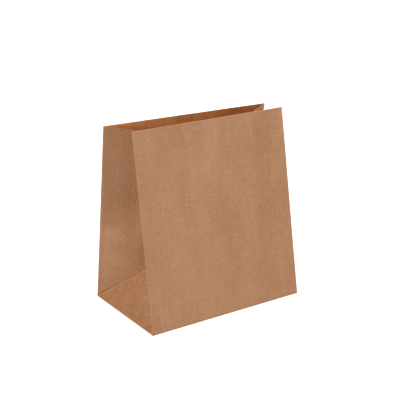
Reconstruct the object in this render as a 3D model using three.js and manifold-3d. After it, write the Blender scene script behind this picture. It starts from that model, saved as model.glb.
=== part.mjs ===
// A brown kraft paper bag of the block-bottom kind, folded and glued from one sheet.
// Millimetres, +Z up, front panel towards -Y. The origin is the centre of the base, on the
// surface that the bag stands on.

import * as THREE from 'three';
import Module from 'manifold-3d';

// Driving dimensions of the sheet and its folds.
const PANEL_WIDTH = 260;
const GUSSET_DEPTH = 160;
const PANEL_HEIGHT = 290;
const PAPER = 0.2;
const SEAM_OVERLAP = 22;
const SEAM_OFFSET = -2;
const BOTTOM_OVERLAP = 24;
const LAP_RAMP = 2;
const LAP_EDGE = 0.12;
const LAYER_CLEARANCE = 0.04;

// How far the opened bag has closed again: each corner of the mouth against the corner of the
// base under it, across (x) and in depth (y), and how much its cut edge misses the panel height.
const MOUTH = {
  backLeft: { across: -8.8, depth: -46.2, cut: -4.3 },
  frontLeft: { across: 3.4, depth: 56.1, cut: 1.8 },
  frontRight: { across: 2.9, depth: 55.8, cut: -2.7 },
  backRight: { across: -7.3, depth: -75.8, cut: 2.5 },
};

// How far the foot of each gusset leans in, and where its centre crease points at the mouth:
// turned towards the back and dropped below level, in degrees.
const GUSSET = {
  left: { lean: 34.5, turn: 5, drop: 15.5 },
  right: { lean: 37, turn: -3, drop: 16 },
};

// Soft shape of the panels: the flat-pack crease pressed into the front and the slack of the
// gusset halves.
const FRONT_CREASE_DEPTH = 1.2;
const BACK_SLACK = 1.5;
const GUSSET_SLACK = 2;

// The gusset halves carry on in the plane of their foot and turn in from there, fully by the
// bend height.
const BEND_HEIGHT = 140;
const BEND_CURL = 2.4;

// Fineness of the surface.
const PANEL_COLUMNS = 14;
const FOOT_ROWS = 4;
const BODY_ROWS = 12;
const SHARPEST_MITRE = 4;
const SAME_PLACE = 0.001;
const SLOPE_STEP = 1;
const BASE_WEIGHT = 1000;
const RIDGE = 1e-6;

const KRAFT_COLOUR = 0xb08463;
const UP = new THREE.Vector3(0, 0, 1);

const { Manifold, Mesh: ManifoldMesh } = await startManifold();

async function startManifold() {
  const library = await Module();
  library.setup();
  return library;
}

// Heights along the sheet of the rows of points, with one row at the level where the foot of a
// gusset has its peak.
const footHeight = GUSSET_DEPTH / 2;
const rows = [
  ...steps(0, footHeight, FOOT_ROWS),
  ...steps(footHeight, PANEL_HEIGHT, BODY_ROWS).slice(1),
];

function steps(from, to, count) {
  return Array.from({ length: count + 1 }, (_, i) => from + ((to - from) * i) / count);
}

function point(x, y, z) {
  return new THREE.Vector3(x, y, z);
}

// One upright edge between a panel and a gusset: straight, from its corner of the base to its
// corner of the mouth.
function uprightEdge(sideX, sideY, { across, depth, cut }) {
  const foot = point((sideX * PANEL_WIDTH) / 2, (sideY * GUSSET_DEPTH) / 2, 0);
  const length = PANEL_HEIGHT + cut;
  const rise = Math.sqrt(length ** 2 - across ** 2 - depth ** 2);
  const top = foot.clone().add(point(across, depth, rise));
  return (height) => foot.clone().lerp(top, height / PANEL_HEIGHT);
}

const edges = {
  backLeft: uprightEdge(-1, 1, MOUTH.backLeft),
  frontLeft: uprightEdge(-1, -1, MOUTH.frontLeft),
  frontRight: uprightEdge(1, -1, MOUTH.frontRight),
  backRight: uprightEdge(1, 1, MOUTH.backRight),
};

// A wide panel between two upright edges, pushed off its flat by offset(share across, height).
function panel(leftEdge, rightEdge, offset) {
  return (share, height) => {
    const base = leftEdge(height).lerp(rightEdge(height), share);
    base.y += offset(share, height);
    return base;
  };
}

// The crease left by the flat pack, as deep as given at its own height and gone at both ends.
function creaseProfile(height) {
  return height < footHeight
    ? height / footHeight
    : (PANEL_HEIGHT - height) / (PANEL_HEIGHT - footHeight);
}

function arch(share) {
  return 4 * share * (1 - share);
}

function frontOffset(share, height) {
  return FRONT_CREASE_DEPTH * arch(share) ** 0.5 * creaseProfile(height);
}

function backOffset(share, height) {
  return BACK_SLACK * arch(share) * arch(height / PANEL_HEIGHT);
}

const frontPanel = panel(edges.frontLeft, edges.frontRight, frontOffset);
const backPanel = panel(edges.backLeft, edges.backRight, backOffset);

// A gusset: the leaning triangle at its foot, and above it two halves that fold in along a
// centre crease. The crease sinks in as far as the half width allows between the upright edges.
function gusset(inward, back, front, { lean, turn, drop }) {
  const halfDepth = GUSSET_DEPTH / 2;
  const leanAngle = THREE.MathUtils.degToRad(lean);
  const turnAngle = THREE.MathUtils.degToRad(turn);
  const dropAngle = THREE.MathUtils.degToRad(drop);
  const base = back(0).lerp(front(0), 0.5);
  const peak = base.clone().add(
    point(inward * halfDepth * Math.sin(leanAngle), 0, halfDepth * Math.cos(leanAngle)),
  );
  const reach = (height) => {
    const gap = back(height).distanceTo(front(height));
    return Math.sqrt(halfDepth ** 2 - (gap / 2) ** 2);
  };
  const middle = (height) => back(height).lerp(front(height), 0.5);
  const footWay = peak.clone().sub(middle(footHeight));
  const footMiss = footWay.length() - reach(footHeight);
  footWay.normalize();
  const mouthWay = point(
    inward * Math.cos(turnAngle) * Math.cos(dropAngle),
    Math.sin(turnAngle) * Math.cos(dropAngle),
    -Math.sin(dropAngle),
  );
  const crease = (height) => {
    const share = (height - footHeight) / (PANEL_HEIGHT - footHeight);
    const way = footWay.clone().lerp(mouthWay, share).normalize();
    return middle(height).addScaledVector(way, reach(height) + footMiss * (1 - share));
  };
  const half = (edge, side) => (across, height) => {
    if (height <= footHeight) {
      const fold = edge(0).lerp(peak, height / footHeight);
      return edge(height).lerp(fold, height > 0 ? across / height : 0);
    }
    const share = across / halfDepth;
    const rise = (height - footHeight) / (PANEL_HEIGHT - footHeight);
    const level = edge(height).add(peak).sub(edge(footHeight));
    const turned = crease(height).sub(level);
    const straight = THREE.MathUtils.smoothstep(height, footHeight, BEND_HEIGHT);
    const curl = THREE.MathUtils.lerp(BEND_CURL, 1, straight);
    const place = edge(height).lerp(level, share).addScaledVector(turned, share ** curl);
    place.y += side * GUSSET_SLACK * arch(share) * rise;
    return place;
  };
  return { peak, backHalf: half(back, 1), frontHalf: half(front, -1) };
}

const leftGusset = gusset(1, edges.backLeft, edges.frontLeft, GUSSET.left);
const rightGusset = gusset(-1, edges.backRight, edges.frontRight, GUSSET.right);

// The outer face of the sheet, as triangles that know which flat of the bag they belong to.
class Surface {
  constructor() {
    this.points = [];
    this.found = new Map();
    this.triangles = [];
  }

  index(place) {
    const key = place.toArray().map((value) => Math.round(value / SAME_PLACE)).join(' ');
    if (!this.found.has(key)) {
      this.found.set(key, this.points.length);
      this.points.push(place);
    }
    return this.found.get(key);
  }

  triangle(flat, a, b, c) {
    const corners = [a, b, c].map((place) => this.index(place));
    if (new Set(corners).size === 3) {
      this.triangles.push({ flat, corners });
    }
  }

  // A strip between two rows of points. The rows may differ in count by one.
  strip(flat, lower, upper, turned) {
    const add = (a, b, c) => (turned ? this.triangle(flat, a, c, b) : this.triangle(flat, a, b, c));
    const shared = Math.min(lower.length, upper.length);
    for (let i = 0; i + 1 < shared; i += 1) {
      add(lower[i], lower[i + 1], upper[i + 1]);
      add(lower[i], upper[i + 1], upper[i]);
    }
    const last = shared - 1;
    if (lower.length > shared) {
      add(lower[last], lower[last + 1], upper[last]);
    }
    if (upper.length > shared) {
      add(lower[last], upper[last + 1], upper[last]);
    }
  }

  sheet(flat, rowsOfPoints, turned) {
    for (let i = 0; i + 1 < rowsOfPoints.length; i += 1) {
      this.strip(flat, rowsOfPoints[i], rowsOfPoints[i + 1], turned);
    }
  }
}

function panelRows(place) {
  const shares = steps(0, 1, PANEL_COLUMNS);
  return rows.map((height) => shares.map((share) => place(share, height)));
}

function halfRows(place) {
  return rows.map((height, row) => {
    const count = Math.min(row, FOOT_ROWS);
    const width = Math.min(height, GUSSET_DEPTH / 2);
    return steps(0, width, Math.max(count, 1)).slice(0, count + 1).map((w) => place(w, height));
  });
}

function footRowsOf(back, front, peak) {
  return steps(0, 1, FOOT_ROWS).map((share, row) => {
    const from = back(0).lerp(peak, share);
    const to = front(0).lerp(peak, share);
    const count = FOOT_ROWS - row;
    return steps(0, 1, Math.max(count, 1)).slice(0, count + 1).map((s) => from.clone().lerp(to, s));
  });
}

function outerSurface() {
  const surface = new Surface();
  surface.sheet('front', panelRows(frontPanel), false);
  surface.sheet('back', panelRows(backPanel), true);
  surface.sheet('left back', halfRows(leftGusset.backHalf), false);
  surface.sheet('left front', halfRows(leftGusset.frontHalf), true);
  surface.sheet('right back', halfRows(rightGusset.backHalf), true);
  surface.sheet('right front', halfRows(rightGusset.frontHalf), false);
  const leftFoot = footRowsOf(edges.backLeft, edges.frontLeft, leftGusset.peak);
  const rightFoot = footRowsOf(edges.backRight, edges.frontRight, rightGusset.peak);
  surface.sheet('left foot', leftFoot, false);
  surface.sheet('right foot', rightFoot, true);
  return surface;
}

// The normals that meet at each point, one for each flat that touches it.
function flatNormals(surface) {
  const normals = surface.points.map(() => new Map());
  for (const { flat, corners } of surface.triangles) {
    const [a, b, c] = corners.map((index) => surface.points[index]);
    const normal = b.clone().sub(a).cross(c.clone().sub(a));
    for (const index of corners) {
      const sum = normals[index].get(flat) ?? new THREE.Vector3();
      normals[index].set(flat, sum.add(normal));
    }
  }
  return normals.map((byFlat) => [...byFlat.values()].map((sum) => sum.normalize()));
}

// The step from a point of the outer face to its inner face: a paper thickness in from every
// flat that meets there, level on the base, and held short in a very sharp fold.
function inwardStep(normals, onBase) {
  const conditions = normals.map((normal) => ({ normal, depth: -PAPER, weight: 1 }));
  if (onBase) {
    conditions.push({ normal: UP, depth: 0, weight: BASE_WEIGHT });
  }
  const matrix = new THREE.Matrix3().set(0, 0, 0, 0, 0, 0, 0, 0, 0);
  const sum = new THREE.Vector3();
  const sums = matrix.elements;
  for (const { normal, depth, weight } of conditions) {
    const n = normal.toArray();
    for (let row = 0; row < 3; row += 1) {
      for (let column = 0; column < 3; column += 1) {
        sums[column * 3 + row] += weight * n[row] * n[column];
      }
    }
    sum.addScaledVector(normal, weight * depth);
  }
  for (const diagonal of [0, 4, 8]) {
    sums[diagonal] += RIDGE;
  }
  const step = sum.applyMatrix3(matrix.invert());
  return step.clampLength(0, SHARPEST_MITRE * PAPER);
}

// The walls: the outer face, the inner face a paper thickness in, and the cut edges.
function wallSolid() {
  const surface = outerSurface();
  const normals = flatNormals(surface);
  const count = surface.points.length;
  const inner = surface.points.map((place, index) => {
    const onBase = Math.abs(place.z) < PAPER / 2;
    return place.clone().add(inwardStep(normals[index], onBase));
  });
  const triangles = [];
  const sides = new Set();
  for (const { corners } of surface.triangles) {
    const [a, b, c] = corners;
    triangles.push([a, b, c], [c + count, b + count, a + count]);
    for (const side of [[a, b], [b, c], [c, a]]) {
      sides.add(side.join(' '));
    }
  }
  for (const side of sides) {
    const [a, b] = side.split(' ').map(Number);
    if (!sides.has(`${b} ${a}`)) {
      triangles.push([b, a, a + count], [b, a + count, b + count]);
    }
  }
  return solid([...surface.points, ...inner], triangles);
}

function solid(points, triangles) {
  return new Manifold(
    new ManifoldMesh({
      numProp: 3,
      vertProperties: new Float32Array(points.flatMap((place) => place.toArray())),
      triVerts: new Uint32Array(triangles.flat()),
    }),
  );
}

function solidOf(geometry) {
  const position = geometry.getAttribute('position');
  const surface = new Surface();
  const places = Array.from({ length: position.count }, (_, i) =>
    new THREE.Vector3().fromBufferAttribute(position, i),
  );
  const order = geometry.index ? [...geometry.index.array] : places.map((_, i) => i);
  for (let i = 0; i < order.length; i += 3) {
    surface.triangle('', places[order[i]], places[order[i + 1]], places[order[i + 2]]);
  }
  return solid(surface.points, surface.triangles.map(({ corners }) => corners));
}

// One layer of the folded bottom: an outline at a level, kept inside the leaning walls.
const frontLean = Math.atan2(MOUTH.frontLeft.depth, PANEL_HEIGHT);
const backLean = Math.atan2(-MOUTH.backRight.depth, PANEL_HEIGHT);

function wallRun(leanAngle, level) {
  return level * Math.tan(leanAngle) + LAYER_CLEARANCE;
}

function bottomLayer(outline, from, to) {
  const shape = new THREE.Shape(outline.map(([x, y]) => new THREE.Vector2(x, y)));
  const geometry = new THREE.ExtrudeGeometry(shape, { depth: to - from, bevelEnabled: false });
  geometry.translate(0, 0, from);
  const left = -PANEL_WIDTH / 2 + wallRun(THREE.MathUtils.degToRad(GUSSET.left.lean), to);
  const right = PANEL_WIDTH / 2 - wallRun(THREE.MathUtils.degToRad(GUSSET.right.lean), to);
  const front = -GUSSET_DEPTH / 2 + wallRun(frontLean, to);
  const back = GUSSET_DEPTH / 2 - wallRun(backLean, to);
  const room = new THREE.BoxGeometry(right - left, back - front, PANEL_HEIGHT);
  room.translate((left + right) / 2, (front + back) / 2, 0);
  return solidOf(geometry).intersect(solidOf(room));
}

// The block bottom: side flaps folded in first, then the back and front flaps with their
// corners tucked at 45 degrees, lapped and glued along the middle.
function bottomSolid() {
  const halfWidth = PANEL_WIDTH / 2;
  const halfDepth = GUSSET_DEPTH / 2;
  const lap = BOTTOM_OVERLAP / 2;
  const flap = halfDepth + lap;
  const innerEnd = halfWidth - flap;
  const waist = halfWidth - halfDepth;
  const outerFlaps = [
    [-halfWidth, -halfDepth],
    [halfWidth, -halfDepth],
    [waist, 0],
    [halfWidth, halfDepth],
    [-halfWidth, halfDepth],
    [-waist, 0],
  ];
  const lapStrip = [
    [-innerEnd, -lap],
    [innerEnd, -lap],
    [waist, 0],
    [innerEnd, lap],
    [-innerEnd, lap],
    [-waist, 0],
  ];
  let bottom = bottomLayer(outerFlaps, 0, PAPER);
  bottom = bottom.add(bottomLayer(lapStrip, PAPER / 2, 2 * PAPER));
  for (const side of [-1, 1]) {
    const turn = (outline) => (side < 0 ? outline.map(([x, y]) => [-x, y]).reverse() : outline);
    const frontTuck = turn([
      [innerEnd, -halfDepth],
      [halfWidth, -halfDepth],
      [innerEnd, lap],
    ]);
    const backTuck = turn([
      [innerEnd, -lap],
      [halfWidth, halfDepth],
      [innerEnd, halfDepth],
    ]);
    const sideFlap = turn([
      [innerEnd, -halfDepth],
      [halfWidth, -halfDepth],
      [halfWidth, halfDepth],
      [innerEnd, halfDepth],
    ]);
    const middleTuck = turn([
      [innerEnd, -lap],
      [waist, 0],
      [innerEnd, lap],
    ]);
    bottom = bottom
      .add(bottomLayer(frontTuck, PAPER / 2, 2 * PAPER))
      .add(bottomLayer(backTuck, PAPER / 2, 2 * PAPER))
      .add(bottomLayer(sideFlap, 2 * PAPER, 3 * PAPER))
      .add(bottomLayer(middleTuck, PAPER, 5 * PAPER));
  }
  const lapEdge = new THREE.Shape([
    new THREE.Vector2(lap, -PAPER),
    new THREE.Vector2(lap + 2 * LAP_RAMP, -PAPER),
    new THREE.Vector2(lap, LAP_EDGE),
  ]);
  const groove = new THREE.ExtrudeGeometry(lapEdge, { depth: 2 * innerEnd, bevelEnabled: false });
  groove.applyMatrix4(new THREE.Matrix4().makeBasis(point(0, 1, 0), UP, point(1, 0, 0)));
  groove.translate(-innerEnd, 0, 0);
  return bottom.subtract(solidOf(groove));
}

// A thin bar that follows the back panel from its foot to the mouth. Its section is given as
// places across the panel and depths out from the outer face.
function backBar(section, from, to) {
  const levels = rows.filter((height) => height > from && height < to);
  const sections = [from, ...levels, to].map((height) =>
    section.map(([across, out]) => {
      const share = 0.5 + across / PANEL_WIDTH;
      const place = backPanel(share, height);
      const along = backPanel(share, height + SLOPE_STEP).sub(place);
      const aside = backPanel(share + SLOPE_STEP / PANEL_WIDTH, height).sub(place);
      return place.addScaledVector(along.cross(aside).normalize(), out);
    }),
  );
  const size = section.length;
  const triangles = [];
  for (let level = 0; level + 1 < sections.length; level += 1) {
    for (let i = 0; i < size; i += 1) {
      const a = level * size + i;
      const b = level * size + ((i + 1) % size);
      triangles.push([a, b, b + size], [a, b + size, a + size]);
    }
  }
  const last = (sections.length - 1) * size;
  for (let i = 1; i + 1 < size; i += 1) {
    triangles.push([0, i + 1, i], [last, last + i, last + i + 1]);
  }
  return solid(sections.flat(), triangles);
}

// The glued seam down the back: the left part of the sheet laps over the right part.
function seamParts() {
  const from = SEAM_OFFSET - SEAM_OVERLAP / 2;
  const to = SEAM_OFFSET + SEAM_OVERLAP / 2;
  const lap = backBar(
    [
      [from - LAP_RAMP, -PAPER / 2],
      [to, -PAPER / 2],
      [to, PAPER],
      [from, PAPER],
      [from - LAP_RAMP, 0],
    ],
    3 * PAPER,
    PANEL_HEIGHT,
  );
  const notch = backBar(
    [
      [from, -2 * PAPER],
      [from, -PAPER / 4],
      [from - LAP_RAMP, -PAPER],
      [from - LAP_RAMP, -2 * PAPER],
    ],
    BOTTOM_OVERLAP / 2,
    PANEL_HEIGHT + 1,
  );
  return { lap, notch };
}

function bagGeometry() {
  const { lap, notch } = seamParts();
  const bag = wallSolid().add(bottomSolid()).add(lap).subtract(notch);
  const mesh = bag.getMesh();
  const geometry = new THREE.BufferGeometry();
  geometry.setAttribute('position', new THREE.BufferAttribute(mesh.vertProperties, 3));
  geometry.setIndex(new THREE.BufferAttribute(mesh.triVerts, 1));
  geometry.computeVertexNormals();
  return geometry;
}

const kraftPaper = new THREE.MeshStandardMaterial({
  color: KRAFT_COLOUR,
  roughness: 0.85,
  metalness: 0,
});

const bag = new THREE.Mesh(bagGeometry(), kraftPaper);
bag.name = 'paper_bag';

const model = new THREE.Group();
model.add(bag);

export default model;
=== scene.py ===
"""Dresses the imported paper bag: one folded sheet of kraft paper, its floor, light and camera."""

import logging
import math
from dataclasses import dataclass
from enum import Enum

import bpy
import numpy as np
from mathutils import Matrix, Vector


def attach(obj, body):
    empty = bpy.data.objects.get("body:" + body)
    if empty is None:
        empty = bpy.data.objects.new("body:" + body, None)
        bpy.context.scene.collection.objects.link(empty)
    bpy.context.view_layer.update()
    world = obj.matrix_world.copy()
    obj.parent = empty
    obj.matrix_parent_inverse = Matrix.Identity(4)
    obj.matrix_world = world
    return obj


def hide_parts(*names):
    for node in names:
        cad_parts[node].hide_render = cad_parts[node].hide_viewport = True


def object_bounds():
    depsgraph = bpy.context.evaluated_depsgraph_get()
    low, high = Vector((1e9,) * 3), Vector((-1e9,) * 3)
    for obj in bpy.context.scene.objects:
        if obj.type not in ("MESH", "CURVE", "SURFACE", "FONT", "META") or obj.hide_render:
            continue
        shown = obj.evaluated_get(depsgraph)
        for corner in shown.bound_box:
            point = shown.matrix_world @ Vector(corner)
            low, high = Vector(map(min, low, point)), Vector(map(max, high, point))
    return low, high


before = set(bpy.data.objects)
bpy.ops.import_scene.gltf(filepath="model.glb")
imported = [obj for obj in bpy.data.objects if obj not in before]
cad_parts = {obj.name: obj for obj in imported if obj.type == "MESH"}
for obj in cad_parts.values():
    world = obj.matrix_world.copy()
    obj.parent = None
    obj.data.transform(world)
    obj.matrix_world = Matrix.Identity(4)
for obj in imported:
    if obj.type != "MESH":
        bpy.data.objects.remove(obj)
CAD_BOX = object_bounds()

LOG = logging.getLogger("paper_bag_scene")
NODE = "paper_bag"
BODY = "root"
PIECE = "folded_paper_bag"

# A millimetre in metres.
MM = 0.001
# How near a place counts as being on a fold line, and a distance past every fold, in mm.
ON_LINE = 0.001
FAR_OFF = 1000.0
BACKWARDS = np.array([0.0, 1.0, 0.0])
WHITE = (1.0, 1.0, 1.0, 1.0)

Socket = bpy.types.NodeSocket
Tint = tuple[float, float, float]
Reach = tuple[float, float]


def smoothstep(low: float, high: float, value: np.ndarray) -> np.ndarray:
    """Rises smoothly from 0 at low to 1 at high.

    Args:
        low: Where the rise begins.
        high: Where it ends.
        value: The places to read it at.

    Returns:
        The risen share at each place.
    """
    share = np.clip((value - low) / (high - low), 0.0, 1.0)
    return share * share * (3.0 - 2.0 * share)


def arch(share: np.ndarray) -> np.ndarray:
    """A parabola that is 1 halfway and 0 at both ends."""
    return 4.0 * share * (1.0 - share)


def unit(way: np.ndarray) -> np.ndarray:
    """The direction of one vector or of many, at length 1."""
    return way / np.linalg.norm(way, axis=-1, keepdims=True)


class Flat(Enum):
    """The stretches of the blank between its upright folds, in order round the bag."""

    BACK_LEFT = 0
    LEFT_BACK = 1
    LEFT_FRONT = 2
    FRONT = 3
    RIGHT_FRONT = 4
    RIGHT_BACK = 5
    BACK_RIGHT = 6

    @property
    def side(self) -> float:
        """-1 for a flat on the left of the bag, 1 for one on its right."""
        return -1.0 if self.value < Flat.FRONT.value else 1.0

    @property
    def rear(self) -> float:
        """1 for half a gusset beside the back panel, -1 for half beside the front panel."""
        return 1.0 if self in (Flat.LEFT_BACK, Flat.RIGHT_BACK) else -1.0


# Each corner fold is named by the flat that begins at it, with the half gusset beside it.
CORNER_FOLDS = {
    Flat.LEFT_BACK: Flat.LEFT_BACK,
    Flat.FRONT: Flat.LEFT_FRONT,
    Flat.RIGHT_FRONT: Flat.RIGHT_FRONT,
    Flat.BACK_RIGHT: Flat.RIGHT_BACK,
}
CREASES = (Flat.LEFT_FRONT, Flat.RIGHT_BACK)


@dataclass(frozen=True)
class MouthCorner:
    """Where a corner of the mouth lies against the corner of the base under it, in mm."""

    across: float
    depth: float
    cut: float


@dataclass(frozen=True)
class GussetFold:
    """How a gusset folds in: the lean of its foot and the way of its crease, in degrees."""

    lean: float
    turn: float
    drop: float


@dataclass(frozen=True)
class Ripple:
    """One soft swelling of a panel, in mm: its middle, half sizes, turn and height."""

    across: float
    height: float
    half_width: float
    half_length: float
    turn: float
    swell: float

    def at(self, across: np.ndarray, height: np.ndarray) -> np.ndarray:
        """The swelling at places on the panel.

        Args:
            across: Places across the panel, in mm from its left edge.
            height: Heights up the panel, in mm.

        Returns:
            How far the paper stands off there, in mm.
        """
        turn = math.radians(self.turn)
        aside, up = across - self.across, height - self.height
        wide = (aside * math.cos(turn) + up * math.sin(turn)) / self.half_width
        high = (up * math.cos(turn) - aside * math.sin(turn)) / self.half_length
        return self.swell * np.exp(-(wide**2) - high**2)


@dataclass(frozen=True)
class BagSizes:
    """The driving dimensions of the folded bag and of its grid, in mm and degrees."""

    panel_width: float = 260.0
    gusset_depth: float = 160.0
    panel_height: float = 290.0
    paper: float = 0.2
    seam_overlap: float = 22.0
    seam_offset: float = -2.0
    seam_ramp: float = 3.0
    bottom_overlap: float = 24.0
    cover_from: float = -6.0
    cover_to: float = 2.0
    cell: float = 4.0
    body_rows: int = 50
    layer_gap: float = 0.02
    fold_radius: float = 0.55
    smooth_angle: float = 28.0
    front_crease: float = 1.2
    back_slack: float = 1.5
    gusset_slack: float = 2.0
    panel_fade: float = 18.0
    base_fade: float = 20.0
    gusset_edge_fade: float = 6.0
    gusset_crease_fade: float = 12.0
    bend_from: float = 100.0
    bend_height: float = 134.0
    bend_curl: float = 2.4
    back_left: MouthCorner = MouthCorner(-8.8, -46.2, -4.3)
    front_left: MouthCorner = MouthCorner(3.4, 56.1, 1.8)
    front_right: MouthCorner = MouthCorner(2.9, 55.8, -2.7)
    back_right: MouthCorner = MouthCorner(-7.3, -75.8, 2.5)
    left_gusset: GussetFold = GussetFold(34.5, 5.0, 15.5)
    right_gusset: GussetFold = GussetFold(37.0, -3.0, 16.0)

    @property
    def foot_height(self) -> float:
        """Half the gusset, which is the height along the sheet of the peak of its foot."""
        return self.gusset_depth / 2

    @property
    def flap(self) -> float:
        """The length of the bottom flaps."""
        return (self.gusset_depth + self.bottom_overlap) / 2

    @property
    def layer(self) -> float:
        """The step from one layer of glued paper to the next."""
        return self.paper + self.layer_gap

    @property
    def seam_from(self) -> float:
        """Where the inner layer of the seam is cut, across from the middle of the back."""
        return self.seam_offset - self.seam_overlap / 2

    @property
    def seam_to(self) -> float:
        """Where the outer layer of the seam is cut."""
        return self.seam_offset + self.seam_overlap / 2


class UprightEdge:
    """A straight fold from a corner of the base to a corner of the mouth."""

    def __init__(self, sizes: BagSizes, side: int, rear: int, corner: MouthCorner) -> None:
        """Works out both ends of the fold.

        Args:
            sizes: The bag's driving dimensions.
            side: -1 on the left of the bag, 1 on its right.
            rear: -1 at the front, 1 at the back.
            corner: Where the fold ends at the mouth.
        """
        self.foot = np.array([side * sizes.panel_width, rear * sizes.gusset_depth, 0.0]) / 2
        length = sizes.panel_height + corner.cut
        rise = math.sqrt(length**2 - corner.across**2 - corner.depth**2)
        self.run = np.array([corner.across, corner.depth, rise]) / sizes.panel_height

    def at(self, height: np.ndarray) -> np.ndarray:
        """The places on the fold at heights along the sheet."""
        return self.foot + np.asarray(height, float)[..., None] * self.run


class Gusset:
    """A side of the bag: a leaning foot and two halves that fold in along a crease."""

    def __init__(
        self, sizes: BagSizes, inward: int, back: UprightEdge, front: UprightEdge, fold: GussetFold
    ) -> None:
        """Works out the peak of the foot and the way that the crease runs.

        Args:
            sizes: The bag's driving dimensions.
            inward: 1 on the left of the bag, -1 on its right.
            back: The fold towards the back panel.
            front: The fold towards the front panel.
            fold: How this gusset folds in.
        """
        self.sizes = sizes
        self.back = back
        self.front = front
        self.base = (back.foot + front.foot) / 2
        lean, turn, drop = (math.radians(v) for v in (fold.lean, fold.turn, fold.drop))
        rise = np.array([inward * math.sin(lean), 0.0, math.cos(lean)])
        self.peak = self.base + sizes.foot_height * rise
        foot = np.array(sizes.foot_height)
        to_peak = self.peak - self.middle(foot)
        self.foot_way = unit(to_peak)
        self.foot_miss = float(np.linalg.norm(to_peak) - self.reach(foot))
        level = math.cos(drop)
        mouth_way = (inward * math.cos(turn) * level, math.sin(turn) * level, -math.sin(drop))
        self.mouth_way = np.array(mouth_way)

    def middle(self, height: np.ndarray) -> np.ndarray:
        """The places halfway between the two upright folds."""
        return (self.back.at(height) + self.front.at(height)) / 2

    def reach(self, height: np.ndarray) -> np.ndarray:
        """How far the crease sinks in between the folds, as the half width allows."""
        gap = np.linalg.norm(self.back.at(height) - self.front.at(height), axis=-1)
        return np.sqrt((self.sizes.gusset_depth / 2) ** 2 - (gap / 2) ** 2)

    def crease(self, height: np.ndarray) -> np.ndarray:
        """Runs the centre crease from the peak of the foot to the mouth.

        Args:
            height: Heights along the sheet, in mm, at the foot's peak or above it.

        Returns:
            The places on the crease, in mm.
        """
        foot = self.sizes.foot_height
        share = ((height - foot) / (self.sizes.panel_height - foot))[..., None]
        way = unit(self.foot_way * (1 - share) + self.mouth_way * share)
        reach = self.reach(height)[..., None] + self.foot_miss * (1 - share)
        return self.middle(height) + way * reach

    def place(self, across: np.ndarray, height: np.ndarray, rear: float) -> np.ndarray:
        """Folds places of one half of the gusset.

        Args:
            across: Distances from the upright fold, in mm.
            height: Heights along the sheet, in mm.
            rear: 1 for the half beside the back panel, -1 for the other.

        Returns:
            The folded places, in mm.
        """
        edge = self.back if rear > 0 else self.front
        foot_place = self._foot_place(edge, across, height)
        body_place = self._body_place(edge, across, height, rear)
        return np.where((height <= self.sizes.foot_height)[..., None], foot_place, body_place)

    def _foot_place(self, edge: UprightEdge, across: np.ndarray, height: np.ndarray) -> np.ndarray:
        """Folds places at the height of the foot, on the half gusset or on the foot itself.

        Args:
            edge: The upright fold of this half.
            across: Distances from it, in mm.
            height: Heights along the sheet, in mm.

        Returns:
            The folded places, in mm.
        """
        foot = self.sizes.foot_height
        up = np.minimum(height, foot)
        climbed = (up / foot)[..., None]
        share = (across / np.maximum(up, ON_LINE))[..., None]
        diagonal = edge.foot + climbed * (self.peak - edge.foot)
        on_half = edge.at(up) * (1 - share) + diagonal * share
        along = (across / foot)[..., None] * (self.base - edge.foot)
        on_foot = edge.foot + climbed * (self.peak - self.base) + along
        return np.where((across <= up)[..., None], on_half, on_foot)

    def _body_place(
        self, edge: UprightEdge, across: np.ndarray, height: np.ndarray, rear: float
    ) -> np.ndarray:
        """Folds places above the foot, where the half turns in towards the crease.

        Args:
            edge: The upright fold of this half.
            across: Distances from it, in mm.
            height: Heights along the sheet, in mm.
            rear: 1 for the half beside the back panel, -1 for the other.

        Returns:
            The folded places, in mm.
        """
        sizes = self.sizes
        foot = sizes.foot_height
        up = np.maximum(height, foot)
        share = (across / (sizes.gusset_depth / 2))[..., None]
        rise = ((up - foot) / (sizes.panel_height - foot))[..., None]
        level = edge.at(up) + self.peak - edge.at(np.array(foot))
        turned = self.crease(up) - level
        bent = smoothstep(sizes.bend_from, sizes.bend_height, up)[..., None]
        curl = sizes.bend_curl + (1 - sizes.bend_curl) * bent
        place = edge.at(up) * (1 - share) + level * share + turned * share**curl
        return place + sizes.gusset_slack * arch(share) * rise * rear * BACKWARDS


@dataclass(frozen=True)
class Panel:
    """A wide panel between two upright folds, with its ripples and the way that it faces."""

    sizes: BagSizes
    left: UprightEdge
    right: UprightEdge
    ripples: tuple[Ripple, ...]
    facing: float

    def place(self, across: np.ndarray, height: np.ndarray, slack: np.ndarray) -> np.ndarray:
        """Folds places of the panel, which swell along the ripples but not at its folds.

        Args:
            across: Distances from its left fold as the front is seen, in mm.
            height: Heights along the sheet, in mm.
            slack: How far each place lies behind the straight panel, in mm.

        Returns:
            The folded places, in mm.
        """
        sizes = self.sizes
        to_fold = np.minimum(across, sizes.panel_width - across)
        fade = smoothstep(0.0, sizes.panel_fade, to_fold) * smoothstep(0.0, sizes.base_fade, height)
        swell = self.facing * sum(ripple.at(across, height) for ripple in self.ripples)
        share = (across / sizes.panel_width)[..., None]
        place = self.left.at(height) * (1 - share) + self.right.at(height) * share
        return place + (slack + swell * fade)[..., None] * BACKWARDS


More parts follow.
